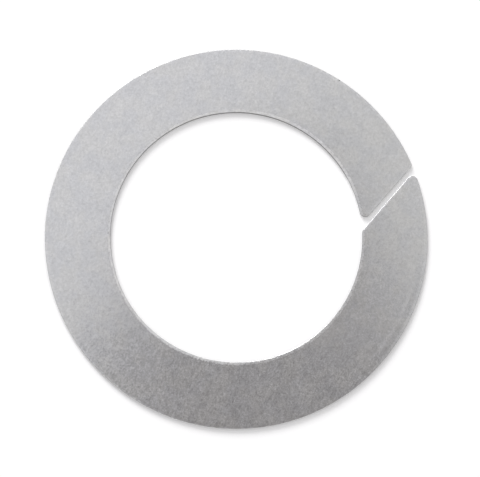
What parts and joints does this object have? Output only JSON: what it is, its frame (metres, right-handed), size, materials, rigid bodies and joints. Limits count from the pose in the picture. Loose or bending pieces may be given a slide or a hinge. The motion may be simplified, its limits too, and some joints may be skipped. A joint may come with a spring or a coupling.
{
  "type": "mounting flange shim",
  "caption": "Thin flat sheet-metal ring, split by one slanted cut so that it springs over a pipe or shaft, packing out the gap under a mounting flange.",
  "frame": {"origin": "on the bore's axis, at the plane of the lower face", "axes": "+Z along the bore's axis, out of the upper face with the rolled-over edges; +X through the middle of the split"},
  "size_m": [0.0508, 0.0508, 0.0005],
  "materials": {
    "sheet_steel": "dull tumbled sheet"
  },
  "bodies": {
    "root": {"shim_ring": "sheet_steel"}
  },
  "joints": []
}
